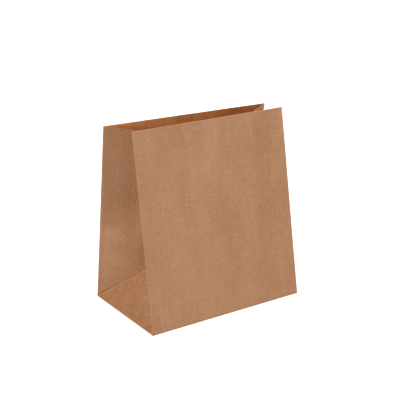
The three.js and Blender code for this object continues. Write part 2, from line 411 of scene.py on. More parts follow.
class FoldedSheet:
    """Where every place of the flat blank lies once the bag is folded."""

    FRONT_RIPPLES = (
        Ripple(130, 258, 25, 60, 0, 1.0),
        Ripple(98, 282, 12, 30, 0, -0.35),
        Ripple(15, 125, 9, 30, -45, 0.35),
        Ripple(110, 190, 70, 45, 0, 0.6),
        Ripple(232, 165, 40, 60, 6, 1.0),
    )
    BACK_RIPPLES = (
        Ripple(70, 200, 45, 60, 8, 0.7),
        Ripple(190, 120, 50, 55, -12, -0.6),
        Ripple(205, 250, 25, 50, 4, 0.5),
    )
    GUSSET_RIPPLES = {
        Flat.LEFT_BACK: (
            Ripple(26, 150, 30, 22, 0, -1.4),
            Ripple(18, 130, 24, 10, -8, -1.2),
            Ripple(20, 106, 24, 10, -6, 1.5),
            Ripple(48, 98, 20, 3.5, 28, 0.22),
        ),
        Flat.LEFT_FRONT: (Ripple(30, 125, 24, 14, 10, -0.6),),
        Flat.RIGHT_FRONT: (
            Ripple(26, 128, 26, 13, 8, -0.8),
            Ripple(24, 104, 22, 12, 4, 0.6),
        ),
        Flat.RIGHT_BACK: (
            Ripple(30, 120, 28, 15, -10, -0.7),
            Ripple(36, 200, 20, 30, 0, 0.5),
        ),
    }

    def __init__(self, sizes: BagSizes) -> None:
        """Works out the folds.

        Args:
            sizes: The bag's driving dimensions.
        """
        self.sizes = sizes
        back_left = UprightEdge(sizes, -1, 1, sizes.back_left)
        front_left = UprightEdge(sizes, -1, -1, sizes.front_left)
        front_right = UprightEdge(sizes, 1, -1, sizes.front_right)
        back_right = UprightEdge(sizes, 1, 1, sizes.back_right)
        self.front = Panel(sizes, front_left, front_right, self.FRONT_RIPPLES, -1.0)
        self.back = Panel(sizes, back_left, back_right, self.BACK_RIPPLES, 1.0)
        self.left = Gusset(sizes, 1, back_left, front_left, sizes.left_gusset)
        self.right = Gusset(sizes, -1, back_right, front_right, sizes.right_gusset)

    def walls(self, flat: Flat, distance: np.ndarray, height: np.ndarray) -> np.ndarray:
        """Folds places of one flat above the base.

        The front sinks in along its flat-pack crease, and the back bows out a little.

        Args:
            flat: The flat that the places are on.
            distance: Distances from the flat's corner fold, in mm.
            height: Heights along the sheet, in mm.

        Returns:
            The folded places, in mm.
        """
        sizes = self.sizes
        if flat in self.GUSSET_RIPPLES:
            gusset = self.left if flat.side < 0 else self.right
            place = gusset.place(distance, height, flat.rear)
            return place + self._gusset_swell(flat, distance, height)
        across = sizes.panel_width - distance if flat is Flat.BACK_RIGHT else distance
        bow = arch(across / sizes.panel_width)
        if flat is Flat.FRONT:
            below = height / sizes.foot_height
            above = (sizes.panel_height - height) / (sizes.panel_height - sizes.foot_height)
            slack = sizes.front_crease * np.sqrt(bow) * np.minimum(below, above)
            return self.front.place(across, height, slack)
        slack = sizes.back_slack * bow * arch(height / sizes.panel_height)
        return self.back.place(across, height, slack + self._seam_step(flat, across, height))

    def _gusset_swell(self, flat: Flat, across: np.ndarray, height: np.ndarray) -> np.ndarray:
        """How the soft dents of half a gusset move its places.

        Args:
            flat: The half gusset.
            across: Distances from its upright fold, in mm.
            height: Heights along the sheet, in mm.

        Returns:
            The move of each place, in mm, along the way that the half faces.
        """
        sizes = self.sizes
        foot, reach = sizes.foot_height, sizes.gusset_crease_fade
        swell = sum(ripple.at(across, height) for ripple in self.GUSSET_RIPPLES[flat])
        fade = smoothstep(0.0, sizes.gusset_edge_fade, across)
        fade = fade * smoothstep(0.0, reach, sizes.gusset_depth / 2 - across)
        fade = fade * smoothstep(foot, foot + reach, height)
        return (swell * fade)[..., None] * unit(np.array([flat.side, -flat.rear, 0.0]))

    def _seam_step(self, flat: Flat, across: np.ndarray, height: np.ndarray) -> np.ndarray:
        """How far a layer of the back seam stands out from the panel.

        Args:
            flat: The half of the back panel that the layer belongs to.
            across: Distances from the panel's left fold as the front is seen, in mm.
            height: Heights along the sheet, in mm.

        Returns:
            The step at each place, in mm.
        """
        sizes = self.sizes
        climbed = smoothstep(0.0, 2 * sizes.cell, height)
        if flat is Flat.BACK_LEFT:
            start = sizes.panel_width / 2 + sizes.seam_from
            return sizes.layer * smoothstep(start - sizes.seam_ramp, start, across) * climbed
        end = sizes.panel_width / 2 + sizes.seam_to
        lapped = 1 - smoothstep(end, end + sizes.seam_ramp, across)
        return -sizes.layer * lapped * (1 - climbed)

    def flaps(self, flat: Flat, distance: np.ndarray, depth: np.ndarray) -> np.ndarray:
        """Folds places of one flat under the base, as the bottom flaps lie.

        Args:
            flat: The flat that the places are on.
            distance: Distances from the flat's corner fold, in mm.
            depth: Distances past the base fold, in mm.

        Returns:
            The folded places of the outer face, in mm.
        """
        sizes = self.sizes
        half_width, half_depth = sizes.panel_width / 2, sizes.gusset_depth / 2
        if flat is Flat.FRONT:
            return np.stack((distance - half_width, depth - half_depth, np.zeros_like(depth)), -1)
        if flat in self.GUSSET_RIPPLES:
            x = flat.side * (half_width - depth)
            y = flat.rear * (half_depth - distance)
            past_edge = half_width - half_depth + np.abs(y) - np.abs(x)
            covered = smoothstep(sizes.cover_from, sizes.cover_to, past_edge)
            return np.stack((x, y, sizes.layer * covered * (1 + self._lapped(np.abs(y)))), -1)
        x = flat.side * (half_width - distance)
        y = half_depth - depth
        layers = self._lapped(y)
        if flat is Flat.BACK_RIGHT:
            seam_end = half_width - sizes.seam_to
            layers = layers + smoothstep(seam_end - sizes.seam_ramp, seam_end, distance)
        return np.stack((x, y, sizes.layer * layers), -1)

    def _lapped(self, y: np.ndarray) -> np.ndarray:
        """1 where the front and back flaps lie over each other, and 0 past their lap."""
        lap = self.sizes.bottom_overlap / 2
        return 1 - smoothstep(lap, lap + self.sizes.seam_ramp, y)


def deselect_all() -> None:
    """Leaves nothing selected."""
    bpy.ops.object.select_all(action="DESELECT")


def rows_of(items: bpy.types.bpy_prop_collection, name: str = "co") -> np.ndarray:
    """Reads a place from each vertex or face of a mesh.

    Args:
        items: The mesh's vertices or faces.
        name: The property that holds the place.

    Returns:
        The places, one row each.
    """
    places = np.empty(len(items) * 3)
    items.foreach_get(name, places)
    return places.reshape(-1, 3)


class Blank:
    """The flat sheet, with its fold lines on grid lines and its distances to the folds."""

    def __init__(self, sizes: BagSizes) -> None:
        """Sets out the columns and rows of the blank.

        Args:
            sizes: The bag's driving dimensions.
        """
        self.sizes = sizes
        middle = sizes.panel_width / 2
        gusset = self._steps(sizes.gusset_depth / 2)
        self.columns: dict[Flat, np.ndarray] = {
            Flat.BACK_LEFT: self._back_columns(middle + sizes.seam_to)[::-1],
            Flat.LEFT_BACK: gusset,
            Flat.LEFT_FRONT: gusset[::-1],
            Flat.FRONT: self._steps(sizes.panel_width),
            Flat.RIGHT_FRONT: gusset,
            Flat.RIGHT_BACK: gusset[::-1],
            Flat.BACK_RIGHT: self._back_columns(middle - sizes.seam_from),
        }
        body = np.linspace(sizes.foot_height, sizes.panel_height, sizes.body_rows + 1)
        foot = self._steps(sizes.foot_height)
        self.heights = np.concatenate((self._steps(sizes.flap) - sizes.flap, foot[1:], body[1:]))
        self.starts, places = [], [0.0]
        for distances in self.columns.values():
            self.starts.append(places[-1])
            places.extend(places[-1] + np.cumsum(np.abs(np.diff(distances))))
        self.places = np.array(places)
        self.length = float(places[-1])
        self.ends = self.starts[1:] + [self.length]

    def _steps(self, length: float) -> np.ndarray:
        """Even steps of about one cell from 0 to a length."""
        return np.linspace(0.0, length, round(length / self.sizes.cell) + 1)

    def _back_columns(self, end: float) -> np.ndarray:
        """Columns of half the back panel, with lines where the other half's layer ends.

        Args:
            end: The half's cut edge, in mm from its corner fold.

        Returns:
            The distances of the columns from the corner fold.
        """
        sizes = self.sizes
        seam = end - sizes.seam_overlap
        stops = (sizes.flap, seam - sizes.seam_ramp, seam, end)
        pieces = [self._steps(sizes.flap)]
        for low, high in zip(stops, stops[1:]):
            count = max(1, math.ceil((high - low) / sizes.cell))
            pieces.append(np.linspace(low, high, count + 1)[1:])
        return np.concatenate(pieces)

    def flat_of(self, along: np.ndarray) -> tuple[np.ndarray, np.ndarray]:
        """Finds the flat of each place along the blank.

        Args:
            along: Places along the blank, in mm from its first cut edge.

        Returns:
            The number of the flat at each place, and the distance there from its corner fold.
        """
        number = np.searchsorted(np.array(self.ends[:-1]), along - ON_LINE, side="right")
        distance = np.empty_like(along)
        for flat, distances in self.columns.items():
            inside = number == flat.value
            offset = along[inside] - self.starts[flat.value]
            falling = distances[0] > distances[-1]
            distance[inside] = distances[0] + (-offset if falling else offset)
        return number, distance

    def from_crease(self, along: np.ndarray) -> np.ndarray:
        """How far each place along the blank is from the nearer gusset crease, in mm."""
        left, right = (np.abs(along - self.starts[crease.value]) for crease in CREASES)
        return np.minimum(left, right)

    def on_gusset(self, along: np.ndarray) -> np.ndarray:
        """Tells which places along the blank are on a gusset or its folds."""
        return self.from_crease(along) <= self.sizes.gusset_depth / 2 + ON_LINE

    def foot_depth(self, places: np.ndarray) -> np.ndarray:
        """How far each place of the blank is inside the foot of a gusset.

        Args:
            places: Places on the flat blank.

        Returns:
            The distance to the foot's diagonal folds in mm, below 0 outside the foot.
        """
        foot = self.sizes.foot_height
        offset = self.from_crease(places[:, 0])
        depth = (foot - offset - places[:, 1]) / math.sqrt(2)
        return np.where(offset <= foot, depth, -foot)

    def fold_distance(self, places: np.ndarray) -> np.ndarray:
        """How far each place of the blank is from the nearest fold of the walls.

        Args:
            places: Places on the flat blank.

        Returns:
            The distance to the nearest fold, in mm.
        """
        along, height = places[:, 0], places[:, 1]
        foot = self.sizes.foot_height
        offset = self.from_crease(along)
        corners = [np.abs(along - self.starts[flat.value]) for flat in CORNER_FOLDS]
        corner = np.where(height >= 0, np.min(corners, axis=0), FAR_OFF)
        crease = np.hypot(offset, np.maximum(foot - height, 0.0))
        at_foot = (offset <= foot) & (height >= 0) & (height <= foot)
        diagonal = np.where(at_foot, np.abs(self.foot_depth(places)), FAR_OFF)
        return np.minimum.reduce((corner, crease, diagonal, np.abs(height)))

    def painted_shade_tone(
        self, places: np.ndarray, spots_on: dict[Flat, tuple[Ripple, ...]]
    ) -> np.ndarray:
        """How much paler or darker the sheet is painted at each place: painted light and shade,
        partly the paper's own tone.

        Args:
            places: Places on the flat blank.
            spots_on: The soft spots of painted light and shade of each flat, pale where they swell
                above 0.

        Returns:
            The tone at each place, which is 0.5 where there is no spot.
        """
        number, distance = self.flat_of(places[:, 0])
        tone = np.zeros(len(places))
        for flat, spots in spots_on.items():
            here = number == flat.value
            across, height = distance[here], places[here, 1]
            spread = sum(spot.at(across, height) for spot in spots)
            tone[here] = spread * smoothstep(0.0, 2 * self.sizes.cell, across)
        return 0.5 + 0.5 * tone


class PaperBag:
    """The bag itself, folded from one flat grid and given the thickness of its paper."""

    EDGE_FINISH = 1
    INSIDE_FINISH = 2
    # Painted light and shade on the outside: paler where the gussets' bends catch light, darker in
    # their hollows and beside their creases and folds; on the front, painted light and shade mixed
    # with the paper's own tone.
    OUTSIDE_SHADE_SPOTS = {
        Flat.LEFT_BACK: (
            Ripple(18, 118, 24, 9, -5, 0.65),
            Ripple(25, 178, 45, 26, 0, -0.5),
            Ripple(68, 80, 18, 35, 0, -1.0),
            Ripple(16, 66, 24, 24, 0, 0.4),
        ),
        Flat.FRONT: (
            Ripple(200, 155, 32, 50, 0, -0.4),
            Ripple(75, 50, 75, 45, 0, 0.4),
            Ripple(125, 255, 16, 50, 0, 0.35),
            Ripple(78, 250, 12, 45, 0, -0.2),
            Ripple(215, 240, 30, 40, 0, -0.25),
            Ripple(250, 150, 12, 60, 0, -0.35),
        ),
        Flat.RIGHT_FRONT: (
            Ripple(20, 116, 24, 9, 5, 0.6),
            Ripple(28, 172, 40, 28, 0, -0.4),
        ),
        Flat.RIGHT_BACK: (Ripple(60, 95, 24, 36, 0, -0.5),),
    }
    # Painted light and shade on the inside of the back near the mouth: paler where the mouth opens
    # wide, darker at its narrow right beside the gusset.
    INSIDE_SHADE_SPOTS = {
        Flat.BACK_LEFT: (Ripple(100, 285, 60, 50, 0, 1.5),),
        Flat.BACK_RIGHT: (
            Ripple(122, 285, 38, 40, 0, 1.2),
            Ripple(38, 285, 36, 40, 0, -0.8),
        ),
    }

    def __init__(self, sizes: BagSizes) -> None:
        """Prepares the blank and the folds.

        Args:
            sizes: The bag's driving dimensions.
        """
        self.sizes = sizes
        self.blank = Blank(sizes)
        self.folded = FoldedSheet(sizes)

    def build(self, finishes: list[bpy.types.Material]) -> bpy.types.Object:
        """Lays, folds and finishes the sheet.

        Args:
            finishes: The materials of its outside, its cut edges and its inside.

        Returns:
            The finished piece, with its place in its mesh.
        """
        piece = self._lay_blank()
        for finish in finishes:
            piece.data.materials.append(finish)
        self._crease_corners(piece)
        self._take_out_tucks(piece)
        self._mark_folds(piece.data)
        self._write_sheet_map(piece.data)
        self._fold(piece.data)
        self._finish(piece)
        return piece

    def _lay_blank(self) -> bpy.types.Object:
        """Adds a grid and spaces its lines as the blank's columns and rows.

        Returns:
            The flat blank.
        """
        columns, rows = len(self.blank.places), len(self.blank.heights)
        deselect_all()
        bpy.ops.mesh.primitive_grid_add(
            x_subdivisions=columns - 1, y_subdivisions=rows - 1, size=1.0, calc_uvs=False
        )
        piece = bpy.context.active_object
        piece.name = PIECE
        piece.data.name = PIECE
        places = rows_of(piece.data.vertices)
        column = np.rint((places[:, 0] + 0.5) * (columns - 1)).astype(int)
        row = np.rint((places[:, 1] + 0.5) * (rows - 1)).astype(int)
        places[:, 0] = self.blank.places[column]
        places[:, 1] = self.blank.heights[row]
        places[:, 2] = 0.0
        piece.data.vertices.foreach_set("co", places.ravel())
        piece.data.update()
        return piece

    def _crease_corners(self, piece: bpy.types.Object) -> None:
        """Splits the cells on the 45 degree folds along their diagonals.

        Args:
            piece: The flat blank, which is active.
        """
        places = rows_of(piece.data.vertices)
        above = places[:, 1] > 0
        height = np.abs(places[:, 1])
        _, distance = self.blank.flat_of(places[:, 0])
        on_gusset = self.blank.on_gusset(places[:, 0])
        reach = np.where(above, self.sizes.foot_height, self.sizes.flap)
        diagonal = (np.abs(distance - height) < ON_LINE) & (height <= reach + ON_LINE)
        diagonal &= np.where(above, on_gusset, ~on_gusset | (height < ON_LINE))
        piece.data.vertices.foreach_set("select", diagonal)
        bpy.ops.object.mode_set(mode="EDIT")
        bpy.ops.mesh.select_mode(type="VERT")
        bpy.ops.mesh.vert_connect()
        bpy.ops.mesh.select_all(action="DESELECT")
        bpy.ops.mesh.select_mode(type="FACE")
        bpy.ops.object.mode_set(mode="OBJECT")

    def _take_out_tucks(self, piece: bpy.types.Object) -> None:
        """Takes out the corners of the front and back flaps that are tucked out of sight.

        Args:
            piece: The flat blank, active and with its corners creased.
        """
        centres = rows_of(piece.data.polygons, "center")
        number, from_corner = self.blank.flat_of(centres[:, 0])
        width = self.sizes.panel_width
        far_corner = np.where(number == Flat.FRONT.value, width - from_corner, width)
        nearest = np.minimum(from_corner, far_corner)
        tucked = ~self.blank.on_gusset(centres[:, 0]) & (-centres[:, 1] > nearest)
        piece.data.polygons.foreach_set("select", tucked)
        bpy.ops.object.mode_set(mode="EDIT")
        bpy.ops.mesh.delete(type="FACE")
        bpy.ops.mesh.select_mode(type="VERT")
        bpy.ops.object.mode_set(mode="OBJECT")

    def _mark_folds(self, mesh: bpy.types.Mesh) -> None:
        """Weights the edges on the folds, writes how far the rest is from them, the depth in the
        feet and the spots of painted light and shade.

        Args:
            mesh: The flat blank, with its corners cut.
        """
        places = rows_of(mesh.vertices)
        distance = self.blank.fold_distance(places)
        ends = np.empty(len(mesh.edges) * 2, int)
        mesh.edges.foreach_get("vertices", ends)
        ends = ends.reshape(-1, 2)
        middles = places[ends].mean(axis=1)
        on_fold = (distance[ends] < ON_LINE).all(axis=1)
        on_fold &= self.blank.fold_distance(middles) < ON_LINE
        cell = self.sizes.cell
        # Distance to a fold or the mouth's cut edge, which sets the painted highlight with some rub
        # wear.
        highlight_measure = np.minimum(distance, self.sizes.panel_height - places[:, 1])
        in_foot = np.clip(self.blank.foot_depth(places) / cell, -1.0, 1.0)
        marks = (
            ("bevel_weight_edge", "EDGE", on_fold),
            ("fold_distance", "POINT", np.minimum(highlight_measure, cell) / cell),
            ("foot_depth", "POINT", 0.5 + 0.5 * in_foot),
            ("outside_shade_tone", "POINT", self.blank.painted_shade_tone(places, self.OUTSIDE_SHADE_SPOTS)),
            ("inside_shade_tone", "POINT", self.blank.painted_shade_tone(places, self.INSIDE_SHADE_SPOTS)),
        )
        for name, domain, values in marks:
            attribute = mesh.attributes.new(name, "FLOAT", domain)
            attribute.data.foreach_set("value", values.astype(np.float32))

    def _write_sheet_map(self, mesh: bpy.types.Mesh) -> None:
        """Writes a UV map that holds places on the flat sheet, in metres.

        Args:
            mesh: The flat blank, with its corners cut.
        """
        sheet_map = mesh.uv_layers.new(name="sheet")
        corners = np.empty(len(mesh.loops), int)
        mesh.loops.foreach_get("vertex_index", corners)
        places = rows_of(mesh.vertices)[corners][:, :2]
        places[:, 1] += self.sizes.flap
        sheet_map.data.foreach_set("uv", (places * MM).ravel())

    def _fold(self, mesh: bpy.types.Mesh) -> None:
        """Moves every vertex of the blank to its folded place.

        Args:
            mesh: The flat blank.
        """
        flat_places = rows_of(mesh.vertices)
        along, height = flat_places[:, 0], flat_places[:, 1]
        number, distance = self.blank.flat_of(along)
        folded = np.zeros_like(flat_places)
        for flat in Flat:
            up = (number == flat.value) & (height >= 0)
            folded[up] = self.folded.walls(flat, distance[up], height[up])
            down = (number == flat.value) & (height < 0)
            folded[down] = self.folded.flaps(flat, distance[down], -height[down])
        for flat, half_gusset in CORNER_FOLDS.items():
            on_fold = np.abs(along - self.blank.starts[flat.value]) < ON_LINE
            depth = -height[on_fold & (height < 0)]
            places = self.folded.flaps(half_gusset, np.zeros_like(depth), depth)
            folded[on_fold & (height < 0)] = places
        mesh.vertices.foreach_set("co", (folded * MM).ravel())
        mesh.update()

    def _finish(self, piece: bpy.types.Object) -> None:
        """Rounds the folds and gives the sheet its thickness.

        Args:
            piece: The folded sheet, which is active.
        """
        rounding = piece.modifiers.new("rounded_folds", "BEVEL")
        rounding.limit_method = "WEIGHT"
        rounding.width = self.sizes.fold_radius * MM
        rounding.segments = 2
        bpy.ops.object.modifier_apply(modifier=rounding.name)
        wall = piece.modifiers.new("paper_thickness", "SOLIDIFY")
        wall.thickness = self.sizes.paper * MM
        wall.offset = -1.0
        wall.use_even_offset = True
        wall.material_offset = self.INSIDE_FINISH
        wall.material_offset_rim = self.EDGE_FINISH
        bpy.ops.object.modifier_apply(modifier=wall.name)
        bpy.ops.object.shade_smooth_by_angle(angle=math.radians(self.sizes.smooth_angle))


@dataclass(frozen=True)
class Nodes:
    """A short way to fill one node tree."""

    tree: bpy.types.NodeTree

    def fill(self, node: bpy.types.Node, inputs: dict[int | str, object]) -> None:
        """Links a node's inputs to sockets or sets their values.

        Args:
            node: The node.
            inputs: A socket or a value for the name or number of each input.
        """
        for name, value in inputs.items():
            if isinstance(value, Socket):
                self.tree.links.new(value, node.inputs[name])
            else:
                node.inputs[name].default_value = value

    def add(
        self, kind: str, inputs: dict[int | str, object] | None = None, **settings: object
    ) -> bpy.types.Node:
        """Adds a node, sets its properties and fills its inputs.

        Args:
            kind: The node's type name.
            inputs: A socket or a value for the name or number of each input.
            **settings: Properties to set on it.

        Returns:
            The new node.
        """
        node = self.tree.nodes.new(kind)
        for name, value in settings.items():
            setattr(node, name, value)
        self.fill(node, inputs or {})
        return node

    def attribute(self, name: str) -> Socket:
        """The values of one of the mesh's attributes."""
        return self.add("ShaderNodeAttribute", attribute_name=name).outputs["Fac"]

    def math(self, operation: str, *values: object, clamp: bool = False) -> Socket:
        """Adds a Math node.

        Args:
            operation: The Math operation.
            *values: A number or a socket for each input.
            clamp: Whether the result is held between 0 and 1.

        Returns:
            Its output.
        """
        inputs = dict(enumerate(values))
        return self.add("ShaderNodeMath", inputs, operation=operation, use_clamp=clamp).outputs[0]

    def remap(
        self, value: Socket, reach: Reach, to_low: float = 0.0, to_high: float = 1.0
    ) -> Socket:
        """Adds a smooth Map Range node.

        Args:
            value: What is mapped.
            reach: The start and the end of its range.
            to_low: What the start becomes.
            to_high: What the end becomes.

        Returns:
            The mapped value.
        """
        ends = {"From Min": reach[0], "From Max": reach[1], "To Min": to_low, "To Max": to_high}
        node = self.add("ShaderNodeMapRange", ends, interpolation_type="SMOOTHSTEP")
        self.fill(node, {"Value": value})
        return node.outputs["Result"]

    def mix(self, share: object, first: object, second: object, blend: str = "MIX") -> Socket:
        """Adds a colour mix.

        Args:
            share: How much of the second colour shows.
            first: The first colour.
            second: The second colour.
            blend: How the two are blended.

        Returns:
            The mixed colour.
        """
        inputs = {0: share, 6: first, 7: second}
        return self.add("ShaderNodeMix", inputs, data_type="RGBA", blend_type=blend).outputs[2]


@dataclass(frozen=True)
class PulpLayer:
    """One noise of the pulp, drawn out up the sheet by its y_scale, and its share of the tone."""

    y_scale: float
    scale: float
    detail: float
    rough: float
    share: float = 1.0
    turn: float = 0.0

    def read(self, nodes: Nodes, sheet: Socket) -> Socket:
        """Adds the noise.

        Args:
            nodes: The tree that it goes into.
            sheet: Places on the flat sheet, in metres.

        Returns:
            The noise value, moved down so that its middle is 0.
        """
        rotation = (0.0, 0.0, math.radians(self.turn))
        scale = (1.0, self.y_scale, 1.0)
        mapping = {"Vector": sheet, "Scale": scale, "Rotation": rotation}
        drawn_out = nodes.add("ShaderNodeMapping", mapping).outputs["Vector"]
        grain = {"Scale": self.scale, "Detail": self.detail, "Roughness": self.rough}
        noise = nodes.add("ShaderNodeTexNoise", {"Vector": drawn_out, **grain})
        return nodes.math("SUBTRACT", noise.outputs["Fac"], 0.5)


class KraftPulp:
    """The shared effect of unbleached pulp: mottle, fibres, clouds, rolled bands and flecks."""

    NAME = "kraft_pulp"
    MOTTLE = PulpLayer(0.8, 560.0, 3.0, 0.7, 5.0)
    CLOUDS = PulpLayer(1.0, 95.0, 3.0, 0.6, 1.2)
    DRIFTS = PulpLayer(0.7, 24.0, 2.0, 0.5, 1.0)
    RIBS = PulpLayer(0.04, 300.0, 1.0, 0.5, 0.7)
    BANDS = PulpLayer(0.22, 26.0, 2.0, 0.5, 1.2)
    FIBRES = (
        PulpLayer(0.22, 1250.0, 2.0, 0.6, turn=12.0),
        PulpLayer(0.22, 1500.0, 2.0, 0.6, turn=-24.0),
        PulpLayer(0.22, 1400.0, 2.0, 0.6, turn=58.0),
        PulpLayer(0.22, 1150.0, 2.0, 0.6, turn=-70.0),
    )
    FLECKS = PulpLayer(0.5, 1100.0, 1.0, 0.5)
    FLECK_REACH = (0.2, 0.3)
    MOTTLE_RELIEF = 1.2

    def group(self) -> bpy.types.NodeTree:
        """Builds the group once.

        Returns:
            The shader node group.
        """
        made = bpy.data.node_groups.get(self.NAME)
        if made:
            return made
        tree = bpy.data.node_groups.new(self.NAME, "ShaderNodeTree")
        tree.interface.new_socket("Sheet", in_out="INPUT", socket_type="NodeSocketVector")
        for name in ("Tone", "Flecks", "Height"):
            tree.interface.new_socket(name, in_out="OUTPUT", socket_type="NodeSocketFloat")
        nodes = Nodes(tree)
        sheet = nodes.add("NodeGroupInput").outputs["Sheet"]
        mottle = self.MOTTLE.read(nodes, sheet)
        fibres = self.FIBRES[0].read(nodes, sheet)
        for fibre in self.FIBRES[1:]:
            fibres = nodes.math("ADD", fibres, fibre.read(nodes, sheet))
        tone = nodes.math("MULTIPLY_ADD", mottle, self.MOTTLE.share, fibres)
        for layer in (self.CLOUDS, self.DRIFTS, self.RIBS, self.BANDS):
            tone = nodes.math("MULTIPLY_ADD", layer.read(nodes, sheet), layer.share, tone)
        flecks = nodes.remap(self.FLECKS.read(nodes, sheet), self.FLECK_REACH)
        mean_fibre = nodes.math("DIVIDE", fibres, len(self.FIBRES))
        height = nodes.math("MULTIPLY_ADD", mottle, self.MOTTLE_RELIEF, mean_fibre)
        nodes.add("NodeGroupOutput", {"Tone": tone, "Flecks": flecks, "Height": height})
        return tree


@dataclass(frozen=True)
class KraftPaper:
    """Unbleached kraft paper, matt, with its colours as linear values.

    The tints are shares of the base colour. The reaches of the foot are read on foot_depth, which
    is 0.5 on a diagonal fold, 0 a cell outside it and 1 a cell inside. The reach of the painted
    fold highlight, with some rub wear, is read on fold_distance, which is 0 on a fold and 1 a cell
    off.
    The foot's bounce tint, shadow line and highlight line are painted light and shade.
    """

    name: str
    base: Tint
    dark: Tint = (0.8, 0.735, 0.65)
    pale: Tint = (1.2, 1.27, 1.37)
    # Paler tint of the folds and the mouth's cut edges: a painted highlight, with some rub wear.
    highlight_and_wear: Tint = (1.36, 1.36, 1.34)
    # Warmer tint of the feet: painted bounce light between the gusset halves and the feet.
    foot_bounce_tint: Tint = (1.0, 0.93, 0.82)
    # Paler orange line just inside the feet's diagonal folds: a painted highlight.
    foot_highlight_tint: Tint = (1.42, 1.13, 0.86)
    # Darker line just above the diagonal folds: a painted shadow of the folded ridge.
    foot_shadow: Tint = (0.68, 0.6, 0.52)
    foot_edge: Reach = (0.5, 0.6)
    foot_grain: float = 2.0
    shadow_rise: Reach = (0.22, 0.34)
    shadow_fall: Reach = (0.44, 0.5)
    foot_highlight_middle: float = 0.57
    foot_highlight_reach: Reach = (0.04, 0.13)
    # Strength of the painted fold highlight, with some rub wear.
    fold_highlight_and_wear: float = 0.0
    fold_highlight_reach: Reach = (0.06, 0.34)
    highlight_off_foot: Reach = (0.2, 0.3)
    glue_stain: float = 0.0
    # Dark line beside the seam's lapped cut edge: painted shadow of the step, with glue pressed
    # out.
    seam_shadow_and_glue: float = 0.75
    seam_shadow_width: float = 1.1
    glue_softness: float = 0.5
    grain: float = 1.0
    # The attribute of the soft spots: painted light and shade, partly the paper's own tone.
    painted_shade_tone: str = ""
    spot_share: float = 2.0
    fleck_share: float = 0.6
    roughness: float = 0.85
    roughness_swing: float = 0.06
    specular: float = 0.2
    relief: float = 0.3
    relief_depth: float = 0.0002

    def shade(self, share: Tint) -> tuple[float, float, float, float]:
        """The base colour, times a share for each channel."""
        red, green, blue = (base * part for base, part in zip(self.base, share))
        return (red, green, blue, 1.0)

    def make(self, blank: Blank) -> bpy.types.Material:
        """Builds the finish.

        Args:
            blank: The flat sheet, whose UV map and attributes it reads.

        Returns:
            The material.
        """
        material = bpy.data.materials.new(self.name)
        material.use_nodes = True
        nodes = Nodes(material.node_tree)
        sheet = nodes.add("ShaderNodeUVMap", uv_map="sheet").outputs["UV"]
        group = KraftPulp().group()
        pulp = nodes.add("ShaderNodeGroup", {"Sheet": sheet}, node_tree=group).outputs
        tone = self._tone(nodes, pulp["Tone"])
        colour = self._pulp_colour(nodes, tone, pulp["Flecks"])
        if self.glue_stain:
            colour = self._stain_and_shade_seam(nodes, colour, sheet, blank)
        if self.fold_highlight_and_wear:
            colour = self._paint_fold_highlights(nodes, self._paint_foot_light(nodes, colour))
        relief = {"Strength": self.relief, "Distance": self.relief_depth, "Height": pulp["Height"]}
        finish = {
            "Base Color": colour,
            "Roughness": nodes.math("MULTIPLY_ADD", tone, self.roughness_swing, self.roughness),
            "Specular IOR Level": self.specular,
            "Normal": nodes.add("ShaderNodeBump", relief).outputs["Normal"],
        }
        nodes.fill(material.node_tree.nodes["Principled BSDF"], finish)
        return material

    def _tone(self, nodes: Nodes, pulp: Socket) -> Socket:
        """Scales the pulp's tone, more so on the feet, and adds the soft spots of painted light and
        shade.

        Args:
            nodes: The material's tree.
            pulp: The tone of the pulp.

        Returns:
            The tone, below 0 where the paper is darker and above 0 where it is paler.
        """
        tone = nodes.math("MULTIPLY", pulp, self.grain)
        if self.fold_highlight_and_wear:
            foot = nodes.attribute("foot_depth")
            coarse = nodes.remap(foot, self.foot_edge, 1.0, self.foot_grain)
            tone = nodes.math("MULTIPLY", tone, coarse)
        if self.painted_shade_tone:
            spots = nodes.math("SUBTRACT", nodes.attribute(self.painted_shade_tone), 0.5)
            tone = nodes.math("MULTIPLY_ADD", spots, self.spot_share, tone)
        return tone

    def _pulp_colour(self, nodes: Nodes, tone: Socket, flecks: Socket) -> Socket:
        """Turns the tone into a colour and strews the flecks on it.

        Args:
            nodes: The material's tree.
            tone: The tone of the paper.
            flecks: Where the flecks are.

        Returns:
            The colour.
        """
        dark = self.shade(self.dark)
        darker = nodes.math("MULTIPLY", tone, -1.0, clamp=True)
        lighter = nodes.math("MULTIPLY", tone, 1.0, clamp=True)
        colour = nodes.mix(darker, (*self.base, 1.0), dark)
        colour = nodes.mix(lighter, colour, self.shade(self.pale))
        return nodes.mix(nodes.math("MULTIPLY", flecks, self.fleck_share), colour, dark)

    def _stain_and_shade_seam(self, nodes: Nodes, colour: Socket, sheet: Socket, blank: Blank) -> Socket:
        """Darkens the two glued edges of the blank, and paints a dark line beside them: painted
        shadow of the lapped cut edge, with glue pressed out.

        Args:
            nodes: The material's tree.
            colour: The colour so far.
            sheet: Places on the flat sheet, in metres.
            blank: The flat sheet.

        Returns:
            The stained colour.
        """
        along = nodes.add("ShaderNodeSeparateXYZ", {0: sheet}).outputs["X"]
        to_end = nodes.math("SUBTRACT", blank.length * MM, along)
        edge = nodes.math("MINIMUM", along, to_end)
        band, soft = blank.sizes.seam_overlap * MM, self.glue_softness * MM
        line_end = band + self.seam_shadow_width * MM
        glued = nodes.remap(edge, (band - soft, band), 1.0, 0.0)
        covered = nodes.remap(edge, (line_end, line_end + soft), 1.0, 0.0)
        edge_shadow_and_glue = nodes.math("SUBTRACT", covered, glued, clamp=True)
        dark = self.shade(self.dark)
        colour = nodes.mix(nodes.math("MULTIPLY", glued, self.glue_stain), colour, dark)
        return nodes.mix(nodes.math("MULTIPLY", edge_shadow_and_glue, self.seam_shadow_and_glue), colour, dark)

